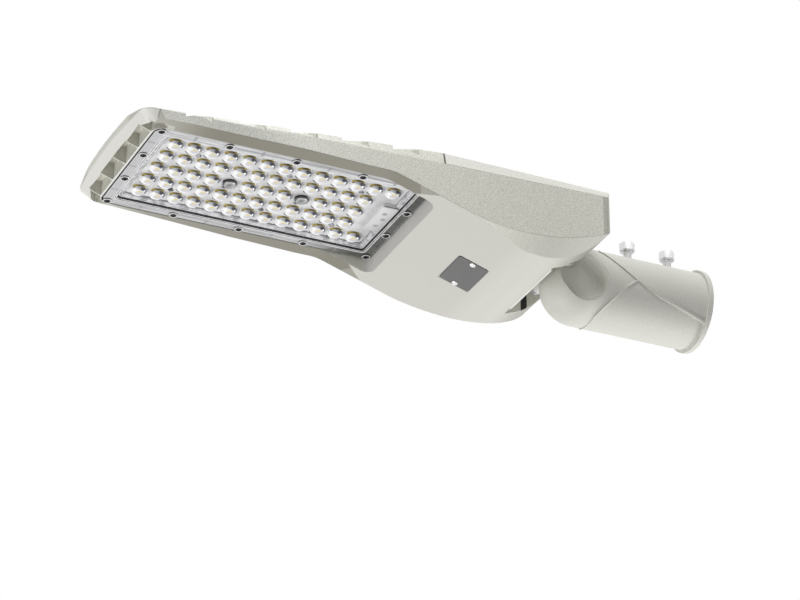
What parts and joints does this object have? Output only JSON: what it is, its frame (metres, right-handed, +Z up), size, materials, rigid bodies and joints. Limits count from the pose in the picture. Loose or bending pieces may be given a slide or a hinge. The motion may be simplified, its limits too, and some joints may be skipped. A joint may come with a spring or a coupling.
{
  "type": "led street light head",
  "caption": "Slim LED street light head: lens module under a grooved heat-sink casting, gear compartment at the rear and a tilting pole spigot with clamping screws.",
  "frame": {"origin": "centre of the spigot's open mouth, on the axis of the pole socket", "axes": "+X out of the socket's mouth along its axis, +Z up in use with the lenses facing down, +Y to the side by the right-hand rule"},
  "size_m": [0.573, 0.172, 0.1006],
  "materials": {
    "casting_paint": "textured powder coat",
    "cover_paint": "smooth powder coat",
    "spigot_paint": "textured powder coat",
    "clear_lens": "clear moulded polycarbonate",
    "board_white": "white solder mask",
    "led_phosphor": "yellow phosphor",
    "seal_rubber": "matt",
    "zinc_steel": "zinc plated",
    "stainless_steel": "plain stainless",
    "tray_steel": "galvanised",
    "driver_case": "plain extruded",
    "terminal_plastic": "pale nylon",
    "surge_plastic": "moulded",
    "black_plastic": "moulded nylon",
    "plate_aluminium": "satin, blank"
  },
  "bodies": {
    "pole_spigot": {"spigot": "spigot_paint", "set_screws": "zinc_steel"},
    "lamp_head": {"main_housing": "casting_paint", "top_cover": "cover_paint", "cover_gasket": "seal_rubber", "cover_screws": "zinc_steel", "lens_plate": "clear_lens", "lens_gasket": "seal_rubber", "lens_screws": "stainless_steel", "led_board": "board_white", "led_chips": "led_phosphor", "board_screws": "stainless_steel", "gear_tray": "tray_steel", "tray_screws": "zinc_steel", "led_driver": "driver_case", "terminal_block": "terminal_plastic", "surge_protector": "surge_plastic", "cable_gland": "black_plastic", "gland_locknut": "black_plastic", "wire_grommet": "seal_rubber", "tunnel_curtains": "seal_rubber", "rating_plate": "plate_aluminium", "rating_plate_screws": "stainless_steel", "pivot_bolt": "zinc_steel", "pivot_washers": "zinc_steel", "pivot_nut": "zinc_steel"}
  },
  "joints": [
    {"name": "head_tilt", "type": "hinge", "parent": "pole_spigot", "child": "lamp_head", "pos_m": [-0.1415, 0, 0.0158], "axis": [0, 1, 0], "range_deg": [-15, 15]}
  ]
}
